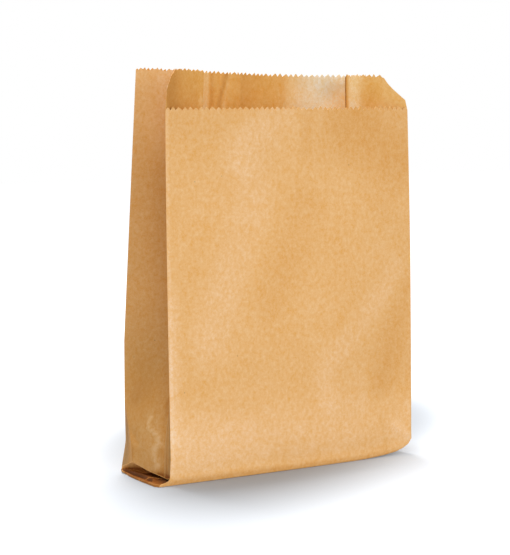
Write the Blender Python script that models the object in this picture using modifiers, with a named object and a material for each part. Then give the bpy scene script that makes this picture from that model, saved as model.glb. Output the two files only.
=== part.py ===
"""Gusseted kraft paper bag, opened and standing: one folded and glued sheet of paper."""
import bpy
import bmesh
import math
from mathutils import Vector

for old in list(bpy.data.objects):
    bpy.data.objects.remove(old, do_unlink=True)

MM = 0.001

# Cut and folds of the flat bag
PANEL_WIDTH = 200 * MM
GUSSET_HALF = 45 * MM
FRONT_HEIGHT = 248.4 * MM
LIP = 26 * MM
LIP_DROP = 3.8 * MM
WALL = 0.4 * MM
TOOTH = 2 * MM
TEETH_PER_CELL = 2

# How it stands: open width at the floor, leans of the panels, fullness of the sheet
DEPTH = 59 * MM
FRONT_LEAN = 8.5 * MM
BACK_LEAN = 11.2 * MM
BACK_TURN = 3.5 * MM
PANEL_BOW = 2.5 * MM
BACK_DENT = 4.6 * MM
DENT_HEIGHT = 23 * MM
DENT_FADE = 48 * MM
DENT_TOP = 90 * MM
MOUTH_DRIFT = 1.7 * MM
FOLD_BOW = 1.4 * MM
SIDE_SPREAD = 6.5 * MM
PLEAT_SHARE = 0.52
PLEAT_ENDS = 130 * MM
CREASE_ENDS = 74 * MM
CREASE_FADE = 30 * MM
CREASE_BULGE = 9 * MM
CREASE_LOW = 20 * MM
CREASE_HIGH = 49 * MM

# Folded bottom: ear on the floor at the left, raised corner at the right, tuck under each gusset
EAR = 10.2 * MM
CORNER_IN = 13 * MM
CORNER_UP = 2.6 * MM
FOLD_GAP = 0.5 * MM
FOLD_ROUND = 2 * WALL + FOLD_GAP
TUCK_IN = 11 * MM
TUCK_UP = 11 * MM
FLAP_DEPTH = 24 * MM
FLAP_STEP = 0.4 * MM

# Long seam on the back panel
SEAM_X = 84 * MM
SEAM_STEP = 0.4 * MM

# Cells of the loft
PANEL_CELLS = 24
GUSSET_CELLS = 10
FLAP_ROWS = 4
LOW_HEIGHTS = [18 * MM, 28 * MM, 38 * MM, 50 * MM, 66 * MM, 88 * MM]
UPPER_ROWS = 6
MOUTH_BAND = 8.4 * MM

BACK_HEIGHT = FRONT_HEIGHT + LIP


def along(points, at):
    """Value at a place on a line of (place, value) points."""
    if at <= points[0][0]:
        return points[0][1]
    for (a, low), (b, high) in zip(points, points[1:]):
        if at <= b:
            return low + (high - low) * (at - a) / (b - a)
    return points[-1][1]


def smooth(t):
    t = min(max(t, 0.0), 1.0)
    return t * t * (3.0 - 2.0 * t)


def bent(line):
    """Gusset points, evenly shared out over a bent line of (share, point)."""
    points = []
    for i in range(GUSSET_CELLS + 1):
        share = i / GUSSET_CELLS
        k = max(j for j in range(len(line) - 1) if line[j][0] <= share + 1e-9)
        part = (share - line[k][0]) / (line[k + 1][0] - line[k][0])
        points.append(line[k][1].lerp(line[k + 1][1], part))
    return points


# The four standing folds
def front_left(z):
    return Vector((MOUTH_DRIFT * (z / FRONT_HEIGHT) ** 3, FRONT_LEAN * z / FRONT_HEIGHT, z))


def front_right(z):
    full = FOLD_BOW * math.sin(math.pi * z / BACK_HEIGHT)
    return Vector((PANEL_WIDTH + full, FRONT_LEAN * z / FRONT_HEIGHT, z))


def back_depth(z):
    """Depth of the back panel, which is dented low down and leans forward to the mouth."""
    dent = [(0, 0), (DENT_HEIGHT, -BACK_DENT), (DENT_FADE, -0.5 * BACK_DENT), (DENT_TOP, -0.1 * BACK_DENT)]
    lean = [(DENT_TOP, 0), (BACK_HEIGHT, -BACK_LEAN)]
    return DEPTH + along(dent, z) + along(lean, z)


def back_left(z):
    return Vector((MOUTH_DRIFT - SIDE_SPREAD * (1 - z / BACK_HEIGHT), back_depth(z), z))


def back_right(z):
    return Vector((PANEL_WIDTH + 1 * MM, back_depth(z) + BACK_TURN * z / BACK_HEIGHT, z))


# The gussets, from the back fold to the front fold: pleated inward above, opened out below
def pleat(z, back, front, side, low_middle, low_ridge):
    inward = math.sqrt(GUSSET_HALF ** 2 - (0.5 * (back - front).length) ** 2)
    valley = back.lerp(front, PLEAT_SHARE) + Vector((inward * side, 0, 0))
    opened = smooth((PLEAT_ENDS - z) / (PLEAT_ENDS - LOW_HEIGHTS[0]))
    middle = valley.lerp(low_middle, opened)
    ridge = back.lerp(valley, 0.8).lerp(low_ridge, opened)
    middle.z = z
    ridge.z = z
    return middle, ridge


def left_gusset(z):
    back = back_left(z)
    front = front_left(z)
    middle, ridge = pleat(z, back, front, 1, Vector((2 * MM, 0.22 * DEPTH, 0)), Vector((-4 * MM, 0.42 * DEPTH, 0)))
    side = along([(CREASE_LOW, CREASE_BULGE), (CREASE_HIGH, 0.6 * CREASE_BULGE)], z)
    deep = along([(CREASE_LOW, 0.65 * DEPTH), (CREASE_HIGH, 0.88 * DEPTH)], z)
    crease = back.lerp(middle, 0.4).lerp(Vector((-side, deep, z)), smooth((CREASE_ENDS - z) / CREASE_FADE))
    near = middle.lerp(front, 0.6)
    return bent([(0, back), (0.2, crease), (0.4, ridge), (0.5, middle), (0.8, near), (1, front)])


def right_gusset(z):
    back = back_right(z)
    front = front_right(z)
    low_middle = Vector((PANEL_WIDTH - 3 * MM, 0.25 * DEPTH, 0))
    low_ridge = Vector((PANEL_WIDTH + 4 * MM, 0.58 * DEPTH, 0))
    middle, ridge = pleat(z, back, front, -1, low_middle, low_ridge)
    return bent([(0, back), (0.4, ridge), (0.5, middle), (1, front)])


# The lowest rounds of each side: floor edge, rounded fold, inner end of the tuck, lower edge of the gusset
def left_low():
    def at(x, deep, z):
        return Vector((x, deep * DEPTH, z))

    floor = [(0, at(-0.55 * EAR, 0.985, 0)), (0.2, at(-0.86 * EAR, 0.68, 0)), (0.4, at(-0.96 * EAR, 0.44, 0)),
             (0.8, at(-EAR, 0.085, 0)), (1, at(-0.81 * EAR, 0.03, 0))]
    fold = [(share, point + Vector((0, 0, FOLD_ROUND))) for share, point in floor]
    fold[0] = (0, at(-0.55 * EAR, 1, FOLD_ROUND))
    fold[-1] = (1, at(-0.78 * EAR, 0.02, FOLD_ROUND))
    rise = FOLD_ROUND + 1.6 * MM
    inner = [(0, at(-5.2 * MM, 0.997, rise - 1 * MM)), (0.2, at(0.4 * TUCK_IN, 0.71, rise)),
             (0.4, at(TUCK_IN, 0.47, rise)), (0.8, at(0.55 * TUCK_IN, 0.135, rise)),
             (1, at(-0.25 * EAR, 0.005, rise + 0.5 * MM))]
    edge = [(0, at(-5 * MM, 1, rise + 0.4 * MM)), (0.2, at(-CREASE_BULGE, 0.62, TUCK_UP)),
            (0.4, at(-4 * MM, 0.42, 0.5 * (TUCK_UP + rise) + 0.3 * MM)), (0.5, at(1 * MM, 0.21, rise + 1 * MM)),
            (0.8, at(0, 0.1, rise + 1.2 * MM)), (1, at(-1 * MM, 0, rise + 2.3 * MM))]
    return [bent(line) for line in (floor, fold, inner, edge)]


def right_low():
    def at(x, deep, z):
        return Vector((PANEL_WIDTH + x, deep * DEPTH, z))

    fold_up = CORNER_UP + FOLD_ROUND + 0.7 * MM
    tuck_up = fold_up + 2 * MM
    floor = [(0, at(-CORNER_IN, 0.976, CORNER_UP)), (0.5, at(3 * MM - CORNER_IN, 0.5, CORNER_UP)),
             (1, at(-CORNER_IN, 0.017, CORNER_UP))]
    fold = [(0, at(-0.58 * CORNER_IN, 0.993, fold_up)), (0.5, at(-0.31 * CORNER_IN, 0.5, fold_up)),
            (1, at(-0.58 * CORNER_IN, 0.005, fold_up))]
    inner = [(0, at(-0.2 * CORNER_IN, 0.997, tuck_up + 0.6 * MM)), (0.2, at(-0.9 * TUCK_IN, 0.78, tuck_up)),
             (0.5, at(-1.3 * TUCK_IN, 0.47, tuck_up)), (0.8, at(-0.9 * TUCK_IN, 0.2, tuck_up)),
             (1, at(-0.2 * CORNER_IN, 0.003, tuck_up + 0.6 * MM))]
    edge = [(0, at(1 * MM, 0.99, TUCK_UP)), (0.4, at(3 * MM, 0.58, TUCK_UP + 2 * MM)),
            (0.5, at(-2 * MM, 0.24, TUCK_UP - 1 * MM)), (1, at(0.3 * MM, 0.005, TUCK_UP))]
    return [bent(line) for line in (floor, fold, inner, edge)]


# Whole rounds: front panel, right gusset, back panel with its seam, left gusset
def panel(a, b, bow):
    points = []
    for i in range(PANEL_CELLS + 1):
        share = i / PANEL_CELLS
        x = share * PANEL_WIDTH + a.x * (1 - share) ** 6 + (b.x - PANEL_WIDTH) * share ** 6
        y = a.y + (b.y - a.y) * share + bow * math.sin(math.pi * share)
        climb = max(0.0, (share - 0.75) / 0.25) ** 2
        points.append(Vector((x, y, a.z + (b.z - a.z) * climb)))
    return points


SEAM_COLUMN = round(SEAM_X / PANEL_WIDTH * PANEL_CELLS)


def lapped(points):
    """The back panel's points, with the long edge that lies on top stepping out at the seam."""
    lift = Vector((0, SEAM_STEP, 0))
    under = points[SEAM_COLUMN].copy()
    under.x = SEAM_X
    over = under + lift + Vector((SEAM_STEP, 0, 0))
    return points[:SEAM_COLUMN] + [under, over] + [p + lift for p in points[SEAM_COLUMN + 1:]]


def whole_round(left, right, bow):
    front = panel(left[-1], right[-1], -bow)
    back = lapped(panel(left[0], right[0], bow))
    return front[:-1] + right[:0:-1] + back[:0:-1] + left[:-1]


COLUMNS = 2 * PANEL_CELLS + 1 + 2 * GUSSET_CELLS
RIGHT_START = PANEL_CELLS
BACK_START = RIGHT_START + GUSSET_CELLS
LEFT_START = BACK_START + PANEL_CELLS + 1
SEAM_CELL = LEFT_START - SEAM_COLUMN - 1

rounds = [whole_round(left, right, 0.4 * PANEL_BOW) for left, right in zip(left_low(), right_low())]
upper_step = (FRONT_HEIGHT - MOUTH_BAND - LOW_HEIGHTS[-1]) / UPPER_ROWS
heights = LOW_HEIGHTS + [LOW_HEIGHTS[-1] + upper_step * (k + 1) for k in range(UPPER_ROWS)]
for z in heights:
    bow = PANEL_BOW * (0.4 + 0.6 * math.sin(math.pi * z / BACK_HEIGHT))
    rounds.append(whole_round(left_gusset(z), right_gusset(z), bow))


# The cut mouth: level front, higher back, slanting cuts on the gussets beside the front
def lip_height(x):
    return BACK_HEIGHT - LIP_DROP * min(max(x / (0.6 * PANEL_WIDTH), 0.0), 1.0)


def mouth(place, x):
    """Height of the cut, and whether it is serrated, at a place counted in columns."""
    half = 0.5 * GUSSET_CELLS
    if place < RIGHT_START:
        return FRONT_HEIGHT, True
    if place < BACK_START:
        share = (place - RIGHT_START) / half
        cut = [(0, -0.77), (0.13, -0.5), (0.225, -0.33), (0.31, -0.19), (0.38, 0)]
    elif place <= LEFT_START:
        share = 1
        cut = [(0, 0)]
    else:
        share = (COLUMNS - place) / half
        cut = [(0, -0.93), (0.05, -0.42), (0.1, -0.35), (0.15, -0.19), (0.2, -0.1), (0.3, 0)]
    return lip_height(x) + LIP * along(cut, share), share > cut[-1][0]


last_round = rounds[-1]
lip_round = whole_round(left_gusset(BACK_HEIGHT), right_gusset(BACK_HEIGHT), 0.4 * PANEL_BOW)


def on_wall(place, z):
    """Point of the wall above the last whole round."""
    a = int(place) % COLUMNS
    b = (a + 1) % COLUMNS
    low = last_round[a].lerp(last_round[b], place % 1)
    high = lip_round[a].lerp(lip_round[b], place % 1)
    point = low.lerp(high, (z - heights[-1]) / (BACK_HEIGHT - heights[-1]))
    point.z = z
    return point


for share in (0.35, 0.7):
    tops = [mouth(c, lip_round[c].x)[0] - TOOTH for c in range(COLUMNS)]
    rounds.append([on_wall(c, heights[-1] + (top - heights[-1]) * share) for c, top in enumerate(tops)])

bm = bmesh.new()
grid = [[bm.verts.new(point) for point in points] for points in rounds]
for low, high in zip(grid, grid[1:]):
    for c in range(COLUMNS):
        n = (c + 1) % COLUMNS
        bm.faces.new((low[c], low[n], high[n], high[c]))


def edge_point(place):
    """Vertex of the cut: teeth point up at odd steps of the fine division."""
    fine = round(place * 2 * TEETH_PER_CELL)
    x = on_wall(place, BACK_HEIGHT).x
    z, serrated = mouth(place, x)
    if serrated and fine % 2 == 0:
        z -= TOOTH
    return bm.verts.new(on_wall(place, z))


steps = 2 * TEETH_PER_CELL
column_ends = [edge_point(c) for c in range(COLUMNS)]
for c in range(COLUMNS):
    n = (c + 1) % COLUMNS
    inside = [] if c == SEAM_CELL else [edge_point(c + k / steps) for k in range(1, steps)]
    cut = [column_ends[c]] + inside + [column_ends[n]]
    middle = len(cut) // 2
    for k, (a, b) in enumerate(zip(cut, cut[1:])):
        bm.faces.new((grid[-1][c] if k < middle else grid[-1][n], b, a))
    bm.faces.new((grid[-1][c], grid[-1][n], cut[middle]))

# Bottom sheet between the floor edges, its front part doubled by the glued flap
sheet = [grid[0][:PANEL_CELLS + 1]]
for j in range(1, GUSSET_CELLS):
    left = grid[0][COLUMNS - j]
    right = grid[0][RIGHT_START + j]
    row = [left]
    for i in range(1, PANEL_CELLS):
        front = sheet[0][i].co
        if j <= FLAP_ROWS:
            place = Vector((front.x, FLAP_DEPTH * j / FLAP_ROWS, front.z))
        else:
            behind = (j - FLAP_ROWS - 1) / (GUSSET_CELLS - FLAP_ROWS - 1 + 0.2)
            y = FLAP_DEPTH + FLAP_STEP + (DEPTH - FLAP_DEPTH) * behind
            place = Vector((front.x, y, front.z + FLAP_STEP))
        row.append(bm.verts.new(place))
    sheet.append(row + [right])
for near, far in zip(sheet, sheet[1:]):
    for i in range(PANEL_CELLS):
        bm.faces.new((near[i], far[i], far[i + 1], near[i + 1]))
back_edge = grid[0][LEFT_START:BACK_START - 1:-1]
for i in range(PANEL_CELLS):
    first = i if i <= SEAM_COLUMN else i + 1
    last = i + 1 if i < SEAM_COLUMN else i + 2
    bm.faces.new([sheet[-1][i]] + back_edge[first:last + 1] + [sheet[-1][i + 1]])

# Origin on the floor under the middle of the bag
xs = [v.co.x for v in bm.verts]
ys = [v.co.y for v in bm.verts]
centre = Vector((0.5 * (min(xs) + max(xs)), 0.5 * (min(ys) + max(ys)), 0))
bmesh.ops.translate(bm, verts=bm.verts, vec=-centre)

mesh = bpy.data.meshes.new("paper_bag")
bm.to_mesh(mesh)
bm.free()
bag = bpy.data.objects.new("paper_bag", mesh)
collection = bpy.data.collections.new("gusseted_paper_bag")
bpy.context.scene.collection.children.link(collection)
collection.objects.link(bag)

kraft = bpy.data.materials.new("kraft_paper")
kraft.use_nodes = True
surface = kraft.node_tree.nodes["Principled BSDF"]
surface.inputs["Base Color"].default_value = (0.62, 0.40, 0.19, 1)
surface.inputs["Roughness"].default_value = 0.8
mesh.materials.append(kraft)

thickness = bag.modifiers.new("paper thickness", "SOLIDIFY")
thickness.thickness = WALL
thickness.offset = -1
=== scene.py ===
"""Kraft paper bag with side gussets, standing open on a pale table."""
import bpy
import math
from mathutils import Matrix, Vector, noise


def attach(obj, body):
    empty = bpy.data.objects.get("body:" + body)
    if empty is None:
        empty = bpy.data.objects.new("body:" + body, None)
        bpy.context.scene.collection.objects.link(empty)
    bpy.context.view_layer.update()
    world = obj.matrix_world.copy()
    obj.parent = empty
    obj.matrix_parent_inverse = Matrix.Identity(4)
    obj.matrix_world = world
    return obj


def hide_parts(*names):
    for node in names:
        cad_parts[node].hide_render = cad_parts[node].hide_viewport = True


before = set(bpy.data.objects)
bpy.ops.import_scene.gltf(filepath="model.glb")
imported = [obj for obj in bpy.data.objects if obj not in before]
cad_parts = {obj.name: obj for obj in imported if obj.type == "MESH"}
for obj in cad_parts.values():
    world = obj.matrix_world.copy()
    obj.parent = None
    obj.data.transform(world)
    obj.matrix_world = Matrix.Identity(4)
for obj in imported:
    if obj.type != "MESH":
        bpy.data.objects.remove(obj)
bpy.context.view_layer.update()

# The view: the bag is seen from its front left, from about 1.2 m away and at the height of its
# mouth. All lengths here are in millimetres from the foot of the bag's front left fold, and the
# photo's width, its focal length and its horizon's height above its middle are in pixels.
MM = 0.001
BAG_MIDDLE = Vector((96.9, 30.426, 0))
STANDING_AT = Vector((-563, -968, 250))
SENSOR = 36
PHOTO_WIDTH = 510
FOCAL = 1727
HORIZON_UP = 172.5
LOOKING_RIGHT = math.radians(33)

eye = bpy.data.cameras.new("eye")
camera = bpy.data.objects.new("eye", eye)
bpy.context.scene.collection.objects.link(camera)
camera.location = (STANDING_AT - BAG_MIDDLE) * MM
camera.rotation_euler = (math.pi / 2 - math.atan(HORIZON_UP / FOCAL), 0, -LOOKING_RIGHT)
eye.sensor_fit = "HORIZONTAL"
eye.sensor_width = SENSOR
eye.lens = FOCAL / PHOTO_WIDTH * SENSOR
bpy.context.scene.camera = camera

# The bag: one sheet of kraft paper, wrapped round and glued along the back, pleated inward at
# both sides, folded under and glued at the bottom, and cut with teeth round the mouth.
PANEL_WIDTH = 200
GUSSET_HALF = 45
FRONT_HEIGHT = 248.4
LIP = 26
LIP_DROP = 3.8
BACK_HEIGHT = FRONT_HEIGHT + LIP
PAPER = 0.22
DEPTH = 59
FRONT_LEAN = 8.5
BACK_LEAN = 11.2
BACK_TURN = 3.5
PANEL_BOW = 2.5
BACK_DENT = 4.6
MOUTH_DRIFT = 1.7
FOLD_BOW = 1.4
SIDE_SPREAD = 6.5
PLEAT_SHARE = 0.52
PLEAT_ENDS = 130
FIRST_ROW = 18
CREASE_ENDS = 74
CREASE_FADE = 30
CREASE_BULGE = 9
CREASE_LOW = 20
CREASE_HIGH = 49
EAR = 10.2
CORNER_IN = 13
CORNER_UP = 2.6
FOLD_ROUND = 1.3
TUCK_IN = 11
TUCK_UP = 11
FLAP_DEPTH = 24
SEAM_X = 84
SEAM_STEP = 0.3
TOOTH = 2

PANEL_COLUMNS = 192
GUSSET_COLUMNS = 60
SEAM_COLUMN = round(SEAM_X / PANEL_WIDTH * PANEL_COLUMNS)
RIGHT_START = PANEL_COLUMNS
BACK_START = RIGHT_START + GUSSET_COLUMNS
LEFT_START = BACK_START + PANEL_COLUMNS + 1
COLUMNS = LEFT_START + GUSSET_COLUMNS


def along(points, at):
    """Value at a place on a line of (place, value) points."""
    if at <= points[0][0]:
        return points[0][1]
    for (a, low), (b, high) in zip(points, points[1:]):
        if at <= b:
            return low + (high - low) * (at - a) / (b - a)
    return points[-1][1]


def smooth(t):
    """0 below 0 and 1 above 1, with an S-shaped rise between."""
    t = min(max(t, 0.0), 1.0)
    return t * t * (3.0 - 2.0 * t)


def bent(line):
    """Gusset points, evenly shared out over a bent line of (share, point)."""
    points = []
    for i in range(GUSSET_COLUMNS + 1):
        share = i / GUSSET_COLUMNS
        k = max(j for j in range(len(line) - 1) if line[j][0] <= share + 1e-9)
        part = (share - line[k][0]) / (line[k + 1][0] - line[k][0])
        points.append(line[k][1].lerp(line[k + 1][1], part))
    return points


def front_left(z):
    """The front left fold at a height."""
    return Vector((MOUTH_DRIFT * (z / FRONT_HEIGHT) ** 3, FRONT_LEAN * z / FRONT_HEIGHT, z))


def front_right(z):
    full = FOLD_BOW * math.sin(math.pi * z / BACK_HEIGHT)
    return Vector((PANEL_WIDTH + full, FRONT_LEAN * z / FRONT_HEIGHT, z))


def back_depth(z):
    """How far behind the front's foot the back stands: dented low down, then leaning forward."""
    dent = [(0, 0), (23, -BACK_DENT), (48, -0.5 * BACK_DENT), (90, -0.1 * BACK_DENT)]
    lean = [(90, 0), (BACK_HEIGHT, -BACK_LEAN)]
    return DEPTH + along(dent, z) + along(lean, z)


def back_left(z):
    return Vector((MOUTH_DRIFT - SIDE_SPREAD * (1 - z / BACK_HEIGHT), back_depth(z), z))


def back_right(z):
    return Vector((PANEL_WIDTH + 1, back_depth(z) + BACK_TURN * z / BACK_HEIGHT, z))


def pleat(z, back, front, side, low_middle, low_ridge):
    """Inward crease of a gusset and the line half way to it, opened out towards the floor."""
    inward = math.sqrt(GUSSET_HALF ** 2 - (0.5 * (back - front).length) ** 2)
    valley = back.lerp(front, PLEAT_SHARE) + Vector((inward * side, 0, 0))
    opened = smooth((PLEAT_ENDS - z) / (PLEAT_ENDS - FIRST_ROW))
    middle = valley.lerp(low_middle, opened)
    ridge = back.lerp(valley, 0.8).lerp(low_ridge, opened)
    middle.z = z
    ridge.z = z
    return middle, ridge


def left_gusset(z):
    """The left gusset at a height, from its back fold to its front fold."""
    back = back_left(z)
    front = front_left(z)
    middle, ridge = pleat(z, back, front, 1, Vector((2, 0.22 * DEPTH, 0)), Vector((-4, 0.42 * DEPTH, 0)))
    side = along([(CREASE_LOW, CREASE_BULGE), (CREASE_HIGH, 0.6 * CREASE_BULGE)], z)
    deep = along([(CREASE_LOW, 0.65 * DEPTH), (CREASE_HIGH, 0.88 * DEPTH)], z)
    crease = back.lerp(middle, 0.4).lerp(Vector((-side, deep, z)), smooth((CREASE_ENDS - z) / CREASE_FADE))
    near = middle.lerp(front, 0.6)
    return bent([(0, back), (0.2, crease), (0.4, ridge), (0.5, middle), (0.8, near), (1, front)])


def right_gusset(z):
    back = back_right(z)
    front = front_right(z)
    low_middle = Vector((PANEL_WIDTH - 3, 0.25 * DEPTH, 0))
    low_ridge = Vector((PANEL_WIDTH + 4, 0.58 * DEPTH, 0))
    middle, ridge = pleat(z, back, front, -1, low_middle, low_ridge)
    return bent([(0, back), (0.4, ridge), (0.5, middle), (1, front)])


def left_low():
    """The left gusset's lowest lines: floor edge, rounded fold, inner end of the tuck, lower edge."""
    def at(x, deep, z):
        return Vector((x, deep * DEPTH, z))

    floor = [(0, at(-0.55 * EAR, 0.985, 0)), (0.2, at(-0.86 * EAR, 0.68, 0)), (0.4, at(-0.96 * EAR, 0.44, 0)),
             (0.8, at(-EAR, 0.085, 0)), (1, at(-0.81 * EAR, 0.03, 0))]
    fold = [(share, point + Vector((0, 0, FOLD_ROUND))) for share, point in floor]
    fold[0] = (0, at(-0.55 * EAR, 1, FOLD_ROUND))
    fold[-1] = (1, at(-0.78 * EAR, 0.02, FOLD_ROUND))
    rise = FOLD_ROUND + 1.6
    inner = [(0, at(-5.2, 0.997, rise - 1)), (0.2, at(0.4 * TUCK_IN, 0.71, rise)),
             (0.4, at(TUCK_IN, 0.47, rise)), (0.8, at(0.55 * TUCK_IN, 0.135, rise)),
             (1, at(-0.25 * EAR, 0.005, rise + 0.5))]
    edge = [(0, at(-5, 1, rise + 0.4)), (0.2, at(-CREASE_BULGE, 0.62, TUCK_UP)),
            (0.4, at(-4, 0.42, 0.5 * (TUCK_UP + rise) - 0.4)), (0.5, at(1, 0.21, rise + 0.6)),
            (0.8, at(0, 0.1, rise + 0.7)), (1, at(-1, 0, rise + 2.1))]
    return [bent(line) for line in (floor, fold, inner, edge)]


def right_low():
    """The same four lines of the right gusset, whose corner is rounded and raised off the floor."""
    def at(x, deep, z):
        return Vector((PANEL_WIDTH + x, deep * DEPTH, z))

    fold_up = CORNER_UP + FOLD_ROUND + 0.7
    tuck_up = fold_up + 2
    floor = [(0, at(-CORNER_IN, 0.976, CORNER_UP)), (0.5, at(3 - CORNER_IN, 0.5, CORNER_UP)),
             (1, at(-CORNER_IN, 0.017, CORNER_UP))]
    fold = [(0, at(-0.58 * CORNER_IN, 0.993, fold_up)), (0.5, at(-0.31 * CORNER_IN, 0.5, fold_up)),
            (1, at(-0.58 * CORNER_IN, 0.005, fold_up))]
    inner = [(0, at(-0.2 * CORNER_IN, 0.997, tuck_up + 0.6)), (0.2, at(-0.9 * TUCK_IN, 0.78, tuck_up)),
             (0.5, at(-1.3 * TUCK_IN, 0.47, tuck_up)), (0.8, at(-0.9 * TUCK_IN, 0.2, tuck_up)),
             (1, at(-0.2 * CORNER_IN, 0.003, tuck_up + 0.6))]
    edge = [(0, at(1, 0.99, TUCK_UP)), (0.4, at(3, 0.58, TUCK_UP + 2)),
            (0.5, at(-2, 0.24, TUCK_UP - 1)), (1, at(0.3, 0.005, TUCK_UP))]
    return [bent(line) for line in (floor, fold, inner, edge)]


def panel(a, b, bow):
    """The front or the back between its two folds."""
    points = []
    for i in range(PANEL_COLUMNS + 1):
        share = i / PANEL_COLUMNS
        x = share * PANEL_WIDTH + a.x * (1 - share) ** 6 + (b.x - PANEL_WIDTH) * share ** 6
        y = a.y + (b.y - a.y) * share + bow * math.sin(math.pi * share)
        climb = max(0.0, (share - 0.75) / 0.25) ** 2
        points.append(Vector((x, y, a.z + (b.z - a.z) * climb)))
    return points


def lapped(points):
    """The back panel's points, with the long edge that lies on top stepping out at the seam."""
    lift = Vector((0, SEAM_STEP, 0))
    under = points[SEAM_COLUMN].copy()
    under.x = SEAM_X
    over = under + lift + Vector((SEAM_STEP, 0, 0))
    return points[:SEAM_COLUMN] + [under, over] + [p + lift for p in points[SEAM_COLUMN + 1:]]


def whole_round(left, right, bow):
    """The sheet once round: the front from its left fold, the right gusset, the back, the left gusset."""
    front = panel(left[-1], right[-1], -bow)
    back = lapped(panel(left[0], right[0], bow))
    return front[:-1] + right[:0:-1] + back[:0:-1] + left[:-1]


def between(low, high, share):
    """A round part of the way from one to another."""
    return [a.lerp(b, share) for a, b in zip(low, high)]


def layered(points, share):
    """The left end of the folded bottom: a rolled edge, a tip at its back and a second layer in it."""
    for column in range(LEFT_START + 1, COLUMNS):
        part = (column - LEFT_START) / GUSSET_COLUMNS
        roll = smooth(part / 0.08) * smooth((0.69 - part) / 0.05)
        flap = smooth((part - 0.66) / 0.03)
        wave = [(0, 0), (0.08, 0.3), (0.16, -0.4), (0.2, 0.8), (0.24, 1.6), (0.32, 1.4), (0.55, 0),
                (0.8, -0.4), (1, 0)]
        flat = [(0, 0), (0.1, 0.5), (0.5, 0.1), (0.9, -0.6), (1, 0)]
        edge = smooth(1 - abs(part - 0.655) / 0.018) * smooth((0.5 - share) / 0.15) * smooth(share / 0.1)
        tip = smooth(1 - abs(part - 0.06) / 0.06) * smooth((0.3 - share) / 0.2)
        points[column].z += roll * along(wave, share) + flap * along(flat, share) + 0.2 * edge
        points[column].x -= 1.3 * tip
    return points


low_rounds = [whole_round(left, right, 0.4 * PANEL_BOW) for left, right in zip(left_low(), right_low())]
rounds = [low_rounds[0], low_rounds[1]]
for share in (0.04, 0.08, 0.12, 0.16, 0.2, 0.24, 0.32, 0.44, 0.6, 0.8, 1):
    rounds.append(layered(between(low_rounds[1], low_rounds[2], share), share))
rounds += [between(low_rounds[2], low_rounds[3], k / 4) for k in (1, 2, 3, 4)]
TUCK_ROWS = len(rounds)

# Rows are closer where the left gusset is crumpled, up to 50 mm above the table
heights = [FIRST_ROW + 2 * k for k in range(17)] + [54 + 4 * k for k in range(12)]
heights += [103.2 + 5.7 * k for k in range(25)]
upper = []
for z in heights:
    bow = PANEL_BOW * (0.4 + 0.6 * math.sin(math.pi * z / BACK_HEIGHT))
    upper.append(whole_round(left_gusset(z), right_gusset(z), bow))
rounds += [between(low_rounds[3], upper[0], k / 16) for k in (1, 2, 3, 4, 8, 12)] + upper

lip_round = whole_round(left_gusset(BACK_HEIGHT), right_gusset(BACK_HEIGHT), 0.4 * PANEL_BOW)


def mouth(column, x):
    """Height of the cut at a column, without its teeth."""
    half = 0.5 * GUSSET_COLUMNS
    if column <= RIGHT_START:
        return FRONT_HEIGHT - TOOTH + 0.2
    if column < BACK_START:
        share = (column - RIGHT_START) / half
        cut = [(0, -0.93), (0.03, -0.66), (0.131, -0.51), (0.227, -0.36), (0.311, -0.21), (0.375, -0.04)]
    elif column <= LEFT_START:
        share = 1
        cut = [(0, -0.035)]
    else:
        share = (COLUMNS - column) / half
        cut = [(0, -1), (0.05, -0.46), (0.1, -0.39), (0.15, -0.24), (0.2, -0.13), (0.3, -0.05)]
    top = BACK_HEIGHT - LIP_DROP * min(max(x / (0.6 * PANEL_WIDTH), 0.0), 1.0)
    return top + LIP * along(cut, share)


def teeth(count, widths):
    """Heights of a row of teeth, one value for each column, from the widths of the teeth in columns."""
    row = []
    k = 0
    while len(row) < count:
        width = widths[k % len(widths)]
        peak = width // 2
        tall = 0.85 + 0.4 * noise.noise(Vector((k * 0.91, 4.1, 0.3)))
        for i in range(width):
            rise = i / peak if i <= peak else (width - i) / (width - peak)
            row.append(tall * rise ** 0.85)
        k += 1
    return row[:count]


# The front, the right gusset, the back from its right end, and the left gusset from its back fold
SMOOTH_CUT = 12
WIDE_TEETH = 84
HALF = GUSSET_COLUMNS // 2
cut_teeth = [1.3 * t for t in teeth(PANEL_COLUMNS, [4, 4, 5, 4, 4, 4])]
cut_teeth += [0] * SMOOTH_CUT + [1.3 * t for t in teeth(HALF - SMOOTH_CUT, [3, 2, 3])] + teeth(HALF, [3, 2])
cut_teeth += [1.3 * t for t in teeth(WIDE_TEETH, [4, 5, 4, 5, 4])]
cut_teeth += [1.1 * t for t in teeth(PANEL_COLUMNS + 1 - WIDE_TEETH, [3, 4, 3, 3])]
cut_teeth += [0.8 * t for t in teeth(HALF, [6, 7, 5])] + teeth(HALF, [3, 4])

plain_top = rounds[-1]
for share in (0.2, 0.4, 0.6, 0.8, 1):
    row = []
    for column, (low, high) in enumerate(zip(plain_top, lip_round)):
        top = mouth(column, high.x) + (TOOTH * cut_teeth[column] if share == 1 else 0)
        z = low.z + (top - low.z) * share
        point = low.lerp(high, (z - low.z) / (BACK_HEIGHT - low.z))
        point.z = z
        row.append(point)
    rounds.append(row)


def near_line(u, z, line):
    """Distance of a place on a panel from a line of points."""
    best = 1e9
    for (u1, z1), (u2, z2) in zip(line, line[1:]):
        du, dz = u2 - u1, z2 - z1
        t = ((u - u1) * du + (z - z1) * dz) / (du * du + dz * dz)
        t = min(max(t, 0.0), 1.0)
        best = min(best, math.hypot(u - u1 - t * du, z - z1 - t * dz))
    return best


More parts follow.
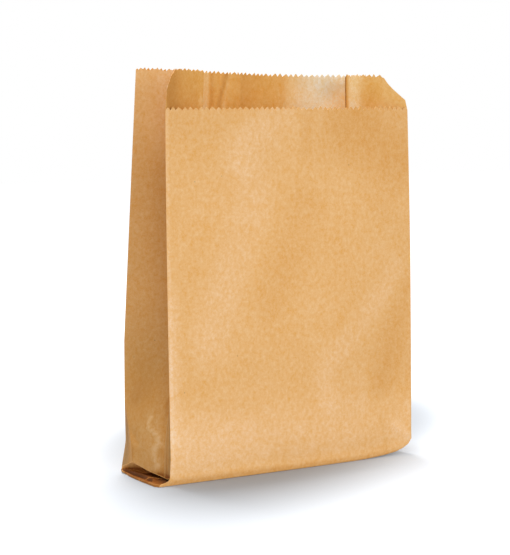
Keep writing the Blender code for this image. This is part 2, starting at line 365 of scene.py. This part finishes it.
def place_on_sheet(column, z):
    """The panel that a column is on, and its distance along that panel."""
    if column < RIGHT_START:
        return "front", column * PANEL_WIDTH / PANEL_COLUMNS
    if column < BACK_START:
        return "right", (column - RIGHT_START) * 2 * GUSSET_HALF / GUSSET_COLUMNS
    if column < LEFT_START:
        return "back", (LEFT_START - column) * PANEL_WIDTH / PANEL_COLUMNS
    return "left", (column - LEFT_START) * 2 * GUSSET_HALF / GUSSET_COLUMNS


# Creases of a bag that has been folded flat and opened: panel, line, half width, height
creases = [
    ("front", [(198, 140), (184, 104), (166, 66), (162, 40)], 18, -0.8),
    ("front", [(142, 96), (122, 68), (128, 46)], 12, 0.5),
    ("front", [(172, 30), (178, 4)], 3, -0.3),
    ("front", [(184, 22), (198, 13)], 4, 0.6),
    ("front", [(97, 247), (74, 186), (56, 141), (40, 88)], 20, -0.7),
    ("front", [(60, 247), (56, 200), (30, 140)], 22, 0.6),
    ("front", [(112, 247), (110, 215)], 6, -0.25),
    ("front", [(124, 247), (120, 222)], 5, 0.3),
    ("left", [(35.5, 41), (34.5, 37), (38.5, 33), (42, 30), (41.5, 27)], 2.6, 0.6),
    ("left", [(42.5, 26), (45, 23)], 2.5, 0.4),
    ("left", [(40.5, 24), (40, 18), (42, 11), (40.5, 7)], 2.8, 0.7),
    ("left", [(45, 56), (45, 40), (46, 27), (45, 20), (45, 9)], 3.5, -0.6),
    ("left", [(24, 60), (30, 46), (26, 34)], 5, 0.5),
    ("left", [(20, 30), (28, 22), (24, 12)], 4, -0.5),
    ("left", [(6, 268), (10, 266), (12, 272)], 3, 0.4),
    ("back", [(75, 274), (70, 258), (66, 236)], 3, -1),
    ("back", [(79, 274), (74, 256), (71, 236)], 3.5, 0.9),
    ("back", [(60, 274), (62, 240)], 5, 0.7),
    ("back", [(52, 274), (54, 244)], 4, -0.15),
    ("back", [(110, 274), (104, 230)], 12, -0.8),
    ("back", [(150, 274), (156, 200), (140, 120)], 24, 0.9),
    ("back", [(30, 190), (60, 120), (52, 60)], 18, -0.8),
    ("back", [(120, 70), (170, 40), (186, 12)], 9, 0.7),
    ("right", [(47, 30), (54, 22), (50, 12)], 4, 0.8),
    ("right", [(30, 60), (36, 34), (30, 16)], 6, -0.7),
    ("right", [(45, 272), (52, 262)], 3, 0.6),
]


def relief(panel_name, u, z):
    """How far the paper stands out of the plain folded form."""
    out = 0.0
    for where, line, half, tall in creases:
        if where == panel_name:
            gap = near_line(u, z, line)
            if gap < half:
                out += tall * (1 - gap / half) ** 1.3
    width = PANEL_WIDTH if panel_name in ("front", "back") else GUSSET_HALF
    inner = u % width if panel_name in ("left", "right") else u
    hold = smooth(min(inner, width - inner) / 9) * smooth(z / 14)
    seed = {"front": 0, "right": 31, "back": 57, "left": 83}[panel_name]
    slow = noise.noise(Vector((u / 48 + seed, z / 62, 0.4)))
    middle = noise.noise(Vector((u / 19 + seed, z / 23, 7.4)))
    return hold * (0.75 * slow + 0.22 * middle) + out * smooth(z / 3)


unworn = rounds
rounds = []
for r, points in enumerate(unworn):
    if r < TUCK_ROWS:
        rounds.append(points)
        continue
    grown = smooth((r - TUCK_ROWS + 1) / 7)
    above = unworn[min(r + 1, len(unworn) - 1)]
    below = unworn[max(r - 1, 0)]
    row = []
    for column, point in enumerate(points):
        across = points[(column + 1) % COLUMNS] - points[column - 1]
        outward = across.cross(above[column] - below[column]).normalized()
        panel_name, u = place_on_sheet(column, point.z)
        row.append(point + outward * grown * relief(panel_name, u, point.z))
    rounds.append(row)

ROWS = len(rounds)
bpy.ops.object.select_all(action="DESELECT")
bpy.ops.mesh.primitive_grid_add(x_subdivisions=COLUMNS, y_subdivisions=ROWS - 1)
bag = bpy.context.object
bag.name = "paper_sheet"
for vertex in bag.data.vertices:
    row, column = divmod(vertex.index, COLUMNS + 1)
    vertex.co = (rounds[row][column % COLUMNS] - BAG_MIDDLE) * MM

# Painted light and shade of the paper, outside and inside, with some of the outside's own tone: panel, line,
# half width, strength. Above 0 the paper is paler, as painted highlight and sheen, and below 0 darker and
# browner, as painted shade.
outer_tone_and_painted_light_marks = [
    # Front: painted sheen and highlights on its bulges and along its left fold, painted shade in its creases,
    # painted light low down and painted shade at its foot.
    ("front", [(90, 247), (62, 222), (66, 186), (48, 141), (30, 92)], 26, 0.45),
    ("front", [(59, 226), (57, 212)], 13, 0.2),
    ("front", [(3, 122), (3, 30)], 9, 0.6),
    ("front", [(4, 82), (4, 70)], 10, 0.3),
    ("front", [(10, 20), (50, 24)], 30, 0.35),
    ("front", [(0, 26), (200, 28)], 40, 0.45),
    ("front", [(188, 132), (158, 98), (122, 66), (128, 46)], 16, 0.45),
    ("front", [(199, 124), (186, 92), (172, 52)], 18, -0.45),
    ("front", [(112, 246), (110, 218)], 9, -0.25),
    ("front", [(150, 235), (196, 215)], 42, -0.65),
    ("front", [(170, 30), (196, 60)], 30, -0.25),
    ("front", [(110, 180), (80, 120)], 28, -0.3),
    ("front", [(8, 236), (40, 236)], 20, -0.2),
    ("front", [(172, 30), (178, 4)], 2.2, -0.45),
    ("front", [(184, 22), (198, 13)], 5, 0.5),
    ("front", [(0, 0), (200, 1)], 7, -0.6),
    ("front", [(1.5, 248), (1.5, 8)], 2.2, 0.6),
    # Left gusset: painted shade along its front fold, over its pleat and round its pocket, painted light near
    # its top, and painted highlights on its crumples.
    ("left", [(90, 248), (90, 14)], 2.4, -1.4),
    ("left", [(60, 236), (60, 275)], 60, 0.45),
    ("left", [(22, 4), (50, 30)], 40, 0.3),
    ("left", [(84, 4), (84, 60)], 10, -0.5),
    ("left", [(22, 0), (22, 195)], 80, -0.55),
    ("left", [(26, 232), (26, 264)], 26, 0.4),
    ("left", [(22, 0), (26, 50)], 60, -0.5),
    ("left", [(70, 60), (70, 200)], 24, -0.2),
    ("left", [(18, 11), (19.5, 21), (15, 28), (12, 37), (9, 47)], 1.6, -0.5),
    ("left", [(35.5, 42), (34.5, 37), (38.5, 33), (42, 30), (41.5, 27)], 1.9, 1.1),
    ("left", [(42.5, 26), (45, 24)], 2.6, 0.9),
    ("left", [(40.5, 24), (40, 18), (42, 11), (40.5, 7)], 2.2, 1.2),
    ("left", [(44, 56), (44, 40), (45, 27), (43.5, 20), (44, 9)], 4, -0.5),
    ("left", [(40, 5), (60, 4), (90, 5.5)], 4, -1.3),
    ("left", [(68, 2), (68, 52)], 20, -1.1),
    ("left", [(50, 5.6), (55, 4.2), (60, 5.8)], 1.1, 1.2),
    # Right gusset: darker over its lower part.
    ("right", [(20, 0), (24, 140)], 60, -0.4),
    # Back: a dark line along the glued seam, and the paper's own paler and darker patches.
    ("back", [(84, 0), (84, 275)], 1.6, -1),
    ("back", [(98, 0), (98, 275)], 16, -0.15),
    ("back", [(40, 200), (80, 120), (60, 60)], 30, 0.3),
    ("back", [(150, 60), (190, 110)], 26, -0.3),
]
inner_light_and_shade_marks = [
    # Painted highlights and painted shade on the inside's folds and wrinkles, and a painted dark line where the
    # right gusset's crease shades the back.
    ("left", [(50, 249), (47, 254)], 3.5, 0.9),
    ("left", [(84, 200), (84, 275)], 46, -0.8),
    ("left", [(88, 200), (88, 275)], 24, -0.5),
    ("back", [(75, 275), (70, 258), (68, 246)], 2.2, -1),
    ("back", [(78, 275), (74, 256), (73, 240)], 3, 0.5),
    ("back", [(62, 275), (63, 250), (60, 240)], 3, -0.5),
    ("right", [(45, 230), (45, 275)], 2.2, -3),
    ("right", [(41, 230), (38, 275)], 9, 0.9),
    ("right", [(4, 238), (40, 246)], 9, 0.5),
    ("right", [(24, 262), (28, 250)], 9, -0.4),
]
# Painted light and shade of the inside along each panel: distance and strength. The back is painted darker at
# its left, in the left gusset's shade, and paler with painted light towards its right end.
inner_light_and_shade_panels = {
    "left": [(0, -0.1)],
    "back": [(0, -0.3), (51, -0.3), (52, 0.8), (60, 0.7), (62, 0), (87, -0.1), (88, -0.6), (104, -0.2),
             (124, 0.2), (129, 0.8), (142, 1.4), (158, 2), (200, 2)],
    "front": [(0, -0.2)],
    "right": [(0, 0.25)],
}

# Painted shade, and below 0 painted light, of the outside and the inside
painted_shade_marks = [
    ("left", [(22, 6), (22, 70)], 60, 0.18),
    ("left", [(22, 120), (22, 190)], 80, 0.08),
    ("left", [(4, 0), (6, 34)], 13, 0.28),
    ("left", [(86, 6), (86, 246)], 9, 0.16),
    ("left", [(64, 6), (64, 52)], 22, 0.2),
    ("left", [(40, 5), (60, 4), (90, 5.5)], 4, 0.1),
    ("left", [(81, 4), (81, 56)], 12, 0.3),
    ("front", [(0, 14), (200, 14)], 64, -0.09),
    ("front", [(0, 0), (200, 3)], 10, -0.1),
    ("front", [(0, 246), (200, 246)], 80, 0.03),
    ("front", [(170, 40), (190, 160)], 60, 0.03),
]
inner_painted_shade_marks = [
    ("back", [(164, 243), (178, 250)], 17, -0.25),
    ("back", [(140, 268), (160, 266)], 16, 0.07),
]


def pocket_painted_shade(row, part):
    """Painted shade of the left end of the folded bottom: the hollow darker than its edges, with a painted
    highlight on its inner layer's edge.
    """
    rolled = [(1, -1.7), (3, -2.1), (4, -2.8), (6, -2.8), (7, -2.3), (8, -2.7), (10, -2.7), (12, -2.4),
              (14, -1.4), (16, -0.5)]
    lit = [(1, -1.7), (3, -2.1), (4, -2.7), (6, -2.7), (8, -2.2), (10, -1.5), (13, -1.3), (16, -0.3)]
    flap = [(1, -1.6), (3, -1.9), (8, -2.3), (9, -2.7), (10, -2.9), (12, -3), (14, -2), (16, -0.9)]
    layer_edge = 0.44 + 0.032 * (row - 4)
    if 4 <= row <= 10 and abs(part - layer_edge) < 0.018:
        return -1.4
    if part < 0.3:
        return along(lit, row)
    return along(rolled if part < 0.64 else flap, row)


def tone(marks, panel_name, u, z):
    """What the marks add up to at a place on a panel."""
    out = 0.0
    for where, line, half, strength in marks:
        if where == panel_name:
            gap = near_line(u, z, line)
            if gap < half:
                out += strength * smooth(1 - gap / half)
    return out


for name, marks in (("outer_tone", outer_tone_and_painted_light_marks), ("inner_tone", inner_light_and_shade_marks),
                    ("dull", painted_shade_marks), ("inner_dull", inner_painted_shade_marks)):
    layer = bag.data.attributes.new(name, "FLOAT", "POINT")
    for vertex in bag.data.vertices:
        row, column = divmod(vertex.index, COLUMNS + 1)
        z = rounds[row][column % COLUMNS].z
        panel_name, u = place_on_sheet(column % COLUMNS, z)
        value = tone(marks, panel_name, u, z)
        if marks is inner_light_and_shade_marks:
            value += along(inner_light_and_shade_panels[panel_name], u)
        # In the left gusset's pocket, painted shade and highlight follow rows and columns, and its darkest
        # places get more painted shade on top.
        if panel_name == "left" and row < TUCK_ROWS and name in ("outer_tone", "dull"):
            value = pocket_painted_shade(row, 0.5 * u / GUSSET_HALF)
            if marks is painted_shade_marks:
                value = 0.5 * max(0, -1.5 - value)
        layer.data[vertex.index].value = value

# The bottom between the floor edges, its front part lower by the thickness of the glued flap
floor_edge = rounds[0]
bpy.ops.object.select_all(action="DESELECT")
bpy.ops.mesh.primitive_grid_add(x_subdivisions=PANEL_COLUMNS, y_subdivisions=GUSSET_COLUMNS)
bottom = bpy.context.object
bottom.name = "bottom_sheet"
for vertex in bottom.data.vertices:
    row, column = divmod(vertex.index, PANEL_COLUMNS + 1)
    front = floor_edge[column]
    back = floor_edge[LEFT_START - column - (1 if column > SEAM_COLUMN else 0)]
    if row == 0:
        point = front
    elif row == GUSSET_COLUMNS:
        point = back
    elif column == 0:
        point = floor_edge[COLUMNS - row]
    elif column == PANEL_COLUMNS:
        point = floor_edge[RIGHT_START + row]
    else:
        point = front.lerp(back, row / GUSSET_COLUMNS)
        point.z = front.z + SEAM_STEP * smooth((point.y - FLAP_DEPTH) / 1.2)
    vertex.co = (point - BAG_MIDDLE) * MM

bpy.ops.object.mode_set(mode="EDIT")
bpy.ops.mesh.select_all(action="SELECT")
bpy.ops.mesh.dissolve_limited(angle_limit=math.radians(0.5))
bpy.ops.object.mode_set(mode="OBJECT")

bag.select_set(True)
bpy.context.view_layer.objects.active = bag
bpy.ops.object.join()
bpy.ops.object.mode_set(mode="EDIT")
bpy.ops.mesh.select_all(action="SELECT")
bpy.ops.mesh.remove_doubles(threshold=0.02 * MM)
bpy.ops.mesh.normals_make_consistent(inside=False)
bpy.ops.object.mode_set(mode="OBJECT")
sheet_count = len(bag.data.vertices)

thickness = bag.modifiers.new("paper thickness", "SOLIDIFY")
thickness.thickness = PAPER * MM
thickness.offset = -1
bpy.ops.object.modifier_apply(modifier=thickness.name)
bpy.ops.object.shade_smooth_by_angle(angle=math.radians(32))
lining = bag.data.attributes.new("inside", "FLOAT", "POINT")
for vertex in bag.data.vertices:
    lining.data[vertex.index].value = float(vertex.index >= sheet_count)


class Shade:
    """A socket of a material: sums, differences and products of shades add Math nodes."""

    def __init__(self, tree, socket=None):
        self.tree = tree
        self.socket = socket

    def node(self, kind, settings, values):
        """A node made with its settings first, then with the values or links of its sockets."""
        made = self.tree.nodes.new(kind)
        for name, value in settings.items():
            if name == "stops":
                stops = made.color_ramp.elements
                while len(stops) < len(value):
                    stops.new(0.5)
                for stop, (position, colour) in zip(stops, value):
                    stop.position = position
                    stop.color = colour + (1,)
            else:
                setattr(made, name, value)
        for name, value in values.items():
            if isinstance(value, Shade):
                self.tree.links.new(value.socket, made.inputs[name])
            else:
                made.inputs[name].default_value = value
        return Shade(self.tree, made.outputs[0])

    def output(self, name):
        """Another output of the same node."""
        return Shade(self.tree, self.socket.node.outputs[name])

    def feed(self, node_name, name):
        self.tree.links.new(self.socket, self.tree.nodes[node_name].inputs[name])

    def maths(self, operation, a, b):
        return self.node("ShaderNodeMath", {"operation": operation}, {0: a, 1: b})

    def __add__(self, other):
        return self.maths("ADD", self, other)

    def __sub__(self, other):
        return self.maths("SUBTRACT", self, other)

    def __rsub__(self, other):
        return self.maths("SUBTRACT", other, self)

    def __mul__(self, other):
        return self.maths("MULTIPLY", self, other)

    __radd__ = __add__
    __rmul__ = __mul__


kraft = bpy.data.materials.new("kraft_paper")
kraft.use_nodes = True
paper = Shade(kraft.node_tree)
place = paper.node("ShaderNodeTexCoord", {}, {}).output("Object")


def fibres(scale, detail, rough, stretch=(1, 1, 1)):
    """Noise about 0 in the paper, its features 1/scale metres wide before the stretch."""
    laid = paper.node("ShaderNodeMapping", {}, {"Vector": place, "Scale": stretch})
    made = paper.node("ShaderNodeTexNoise", {}, {
        "Vector": laid, "Scale": scale, "Detail": detail, "Roughness": rough})
    return made - 0.5


def painted(name):
    """A painted tone, light or shade that the sheet's own points hold."""
    return paper.node("ShaderNodeAttribute", {"attribute_name": name}, {}).output("Fac")


clouds = fibres(30, 2, 0.5)
mottle = fibres(110, 4, 0.7)
grain = fibres(330, 4, 0.9, (1.1, 1.1, 0.95))
streaks = fibres(300, 2, 0.6, (1, 1, 0.06))

# The stops run from painted shade through the paper's own colour to painted sheen outside and painted light
# inside.
outer_paper = paper.node(
    "ShaderNodeValToRGB",
    {"stops": [(0, (0.34, 0.095, 0.004)), (0.25, (0.67, 0.33, 0.088)), (0.5, (0.77, 0.44, 0.17)),
               (0.75, (0.84, 0.53, 0.27)), (1, (0.90, 0.65, 0.42))]},
    {"Fac": 0.5 + 0.25 * painted("outer_tone") + 0.13 * clouds})
inner_paper = paper.node(
    "ShaderNodeValToRGB",
    {"stops": [(0, (0.35, 0.13, 0.015)), (0.25, (0.62, 0.29, 0.065)), (0.5, (0.75, 0.40, 0.105)),
               (0.75, (0.85, 0.57, 0.26)), (1, (0.88, 0.79, 0.58))]},
    {"Fac": 0.5 + 0.25 * painted("inner_tone") + 0.13 * clouds})
inside = painted("inside")
both = paper.node("ShaderNodeMix", {"data_type": "RGBA"}, {0: inside, 6: outer_paper, 7: inner_paper}).output(2)

# The fibres vary from browner to paler: red hardly changes, blue most
pulp = 0.3 * mottle + 1.8 * grain + 0.06 * streaks
paler = paper.node("ShaderNodeVectorMath", {"operation": "SCALE"}, {0: (0.15, 0.5, 1.35), "Scale": pulp})
tint = paper.node("ShaderNodeVectorMath", {"operation": "ADD"}, {0: paler, 1: (1, 1, 1)})
fibred = paper.node("ShaderNodeVectorMath", {"operation": "MULTIPLY"}, {0: both, 1: tint})

specks = paper.node("ShaderNodeTexVoronoi", {}, {"Vector": place, "Scale": 95.0})
kind = paper.node("ShaderNodeSeparateColor", {}, {0: specks.output("Color")})
dark_speck = paper.maths("LESS_THAN", specks, 0.045) * paper.maths("GREATER_THAN", kind, 0.72)
# Dark specks of the paper, and the painted shade and painted light that the sheet's points hold
speckled_and_shaded = 1 - 0.3 * dark_speck - painted("dull") * (1 - inside) - painted("inner_dull") * inside
toned = paper.node("ShaderNodeVectorMath", {"operation": "SCALE"}, {0: fibred, "Scale": speckled_and_shaded})
bump = paper.node("ShaderNodeBump", {}, {"Height": grain + 0.6 * mottle, "Strength": 0.16, "Distance": 0.0005})
kraft.node_tree.nodes["Principled BSDF"].inputs["Specular IOR Level"].default_value = 0.22
toned.feed("Principled BSDF", "Base Color")
(0.7 - 0.4 * mottle).feed("Principled BSDF", "Roughness")
bump.feed("Principled BSDF", "Normal")
bag.data.materials.append(kraft)

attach(bag, "root")
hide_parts("paper_bag")

# The table: a plain white sheet under the bag, a little blue so that the bag's warm light on it looks grey.
# It keeps the bag's soft shadow, a painted shadow makes it greyer before and behind the bag, and further off it
# shades off into the white background.
bpy.ops.object.select_all(action="DESELECT")
bpy.ops.mesh.primitive_plane_add(size=8, location=(0, 0, -0.2 * MM))
table = bpy.context.object
table.name = "table"
white = bpy.data.materials.new("white_table")
white.use_nodes = True
top = Shade(white.node_tree)
seen = top.node("ShaderNodeBsdfDiffuse", {}, {"Color": (0.387, 0.407, 0.433, 1)})
floor_place = top.node("ShaderNodeTexCoord", {}, {}).output("Object")


def ring(middle, turn, stretch, inner, outer):
    """0 within an ellipse on the table, rising to 1 at a wider one."""
    spot = top.node("ShaderNodeMapping", {"vector_type": "TEXTURE"}, {
        "Vector": floor_place, "Location": middle, "Rotation": (0, 0, turn), "Scale": (stretch, 1, 1)})
    reach = top.node("ShaderNodeVectorMath", {"operation": "LENGTH"}, {0: spot}).output("Value")
    return top.node("ShaderNodeMapRange", {"interpolation_type": "SMOOTHSTEP"}, {
        "Value": reach, "From Min": inner, "From Max": outer})


# Painted shadow: within these ellipses the white glow is held back, deepening the real shadow before the bag
# and laying a grey pool behind it, where little real shadow falls.
before = ring((-0.01, 0.0145, 0), 0.813, 2.43, 0.014, 0.189)
behind = ring((0.083, 0.109, 0), 0.59, 1.635, 0.088, 0.149)
glow = top.node("ShaderNodeEmission", {}, {"Color": (0.95, 0.97, 1, 1), "Strength": 0.8 * before * behind})
shown = top.node("ShaderNodeAddShader", {}, {0: seen, 1: glow})
matt = top.node("ShaderNodeBsdfDiffuse", {}, {"Color": (0.4, 0.4, 0.4, 1)})


def looked_at(shade):
    """1 for the rays that show a surface as it looks, 0 for those that only carry light on."""
    ray = shade.node("ShaderNodeLightPath", {}, {})
    glossy = shade.maths("MAXIMUM", ray.output("Is Glossy Ray"), ray.output("Is Transmission Ray"))
    return shade.maths("MAXIMUM", ray.output("Is Camera Ray"), glossy)


top.node("ShaderNodeMixShader", {}, {0: looked_at(top), 1: matt, 2: shown}).feed("Material Output", "Surface")
table.data.materials.append(white)

# The light: a bright white room, a softbox above and a little behind the bag, and two wider, weaker
# ones before it, one high at its left and one low at its right.
world = bpy.data.worlds.new("studio")
bpy.context.scene.world = world
world.use_nodes = True
room = Shade(world.node_tree)
ROOM = 0.74
world.node_tree.nodes["Background"].inputs["Color"].default_value = (1, 1, 1, 1)
(ROOM + (1 - ROOM) * looked_at(room)).feed("Background", "Strength")


def softbox(name, position, aim, size, power):
    lamp = bpy.data.lights.new(name, "AREA")
    lamp.size = size
    lamp.energy = power
    holder = bpy.data.objects.new(name, lamp)
    bpy.context.scene.collection.objects.link(holder)
    holder.location = position
    holder.rotation_euler = (Vector(aim) - Vector(position)).to_track_quat("-Z", "Y").to_euler()


softbox("over", (0.05, 0.38, 1.55), (0, 0, 0), 0.5, 30)
softbox("before_left", (-0.75, -1.3, 0.8), (0, 0, 0.1), 1.0, 4.4)
softbox("before_right", (0.3, -1.4, 0.35), (0, 0, 0.05), 1.0, 5.2)

bpy.context.scene.view_settings.view_transform = "Standard"
